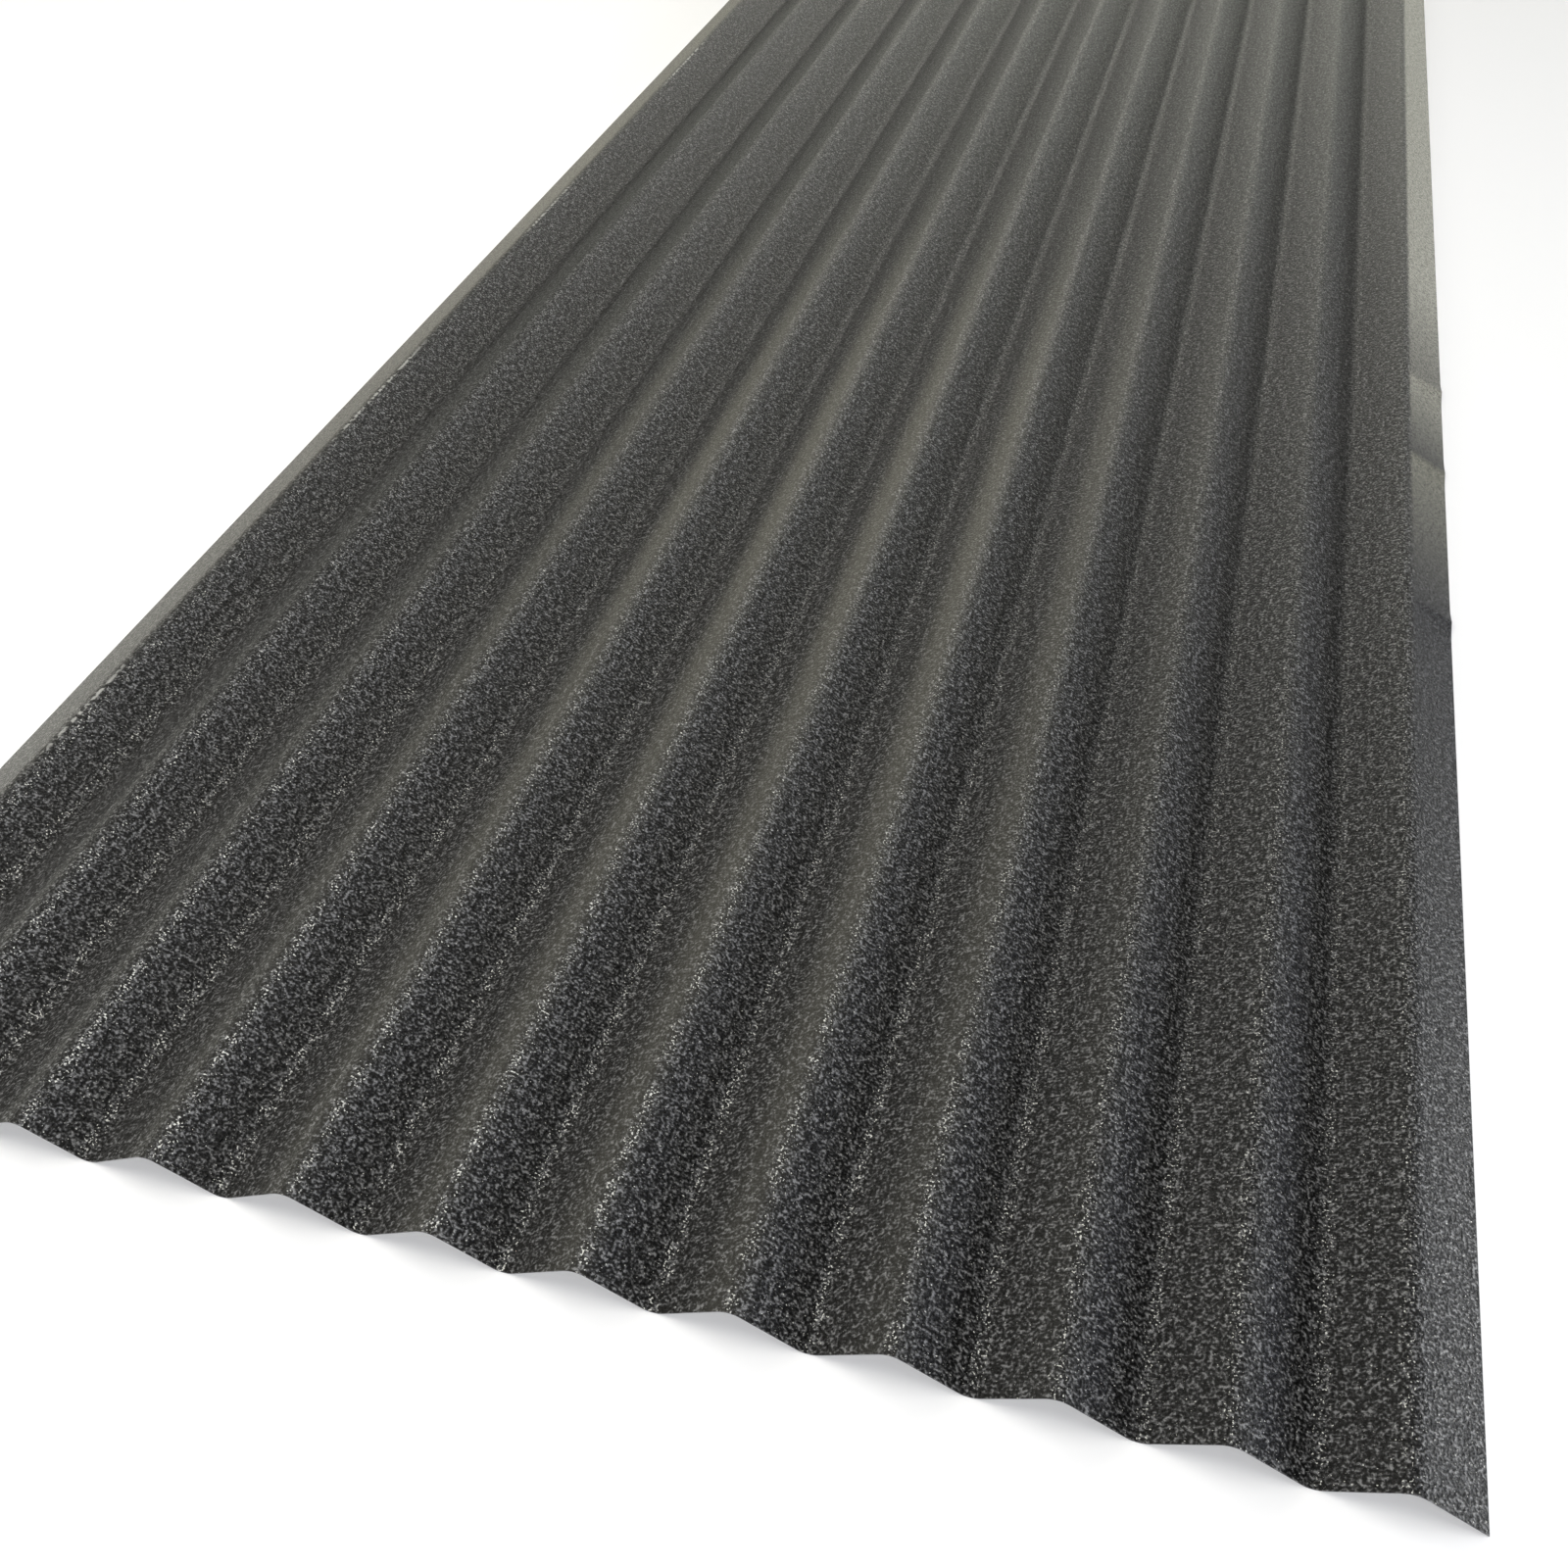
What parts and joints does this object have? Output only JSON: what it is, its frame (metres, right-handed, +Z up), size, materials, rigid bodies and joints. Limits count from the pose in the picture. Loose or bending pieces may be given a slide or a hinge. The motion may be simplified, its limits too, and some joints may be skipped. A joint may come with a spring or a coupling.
{
  "type": "corrugated metal sheet",
  "caption": "Long thin steel sheet rolled into V-shaped waves with rounded crests and valleys, coated in textured charcoal, for cladding a roof, wall or fence",
  "frame": {"origin": "On the floor under the middle of the sheet, at the level of the valley bottoms", "axes": "X across the waves, Y along the waves (the length), Z up"},
  "size_m": [0.9064, 3, 0.019],
  "materials": {
    "charcoal_coating": "textured matt"
  },
  "bodies": {
    "root": {"corrugated_sheet": "charcoal_coating"}
  },
  "joints": []
}
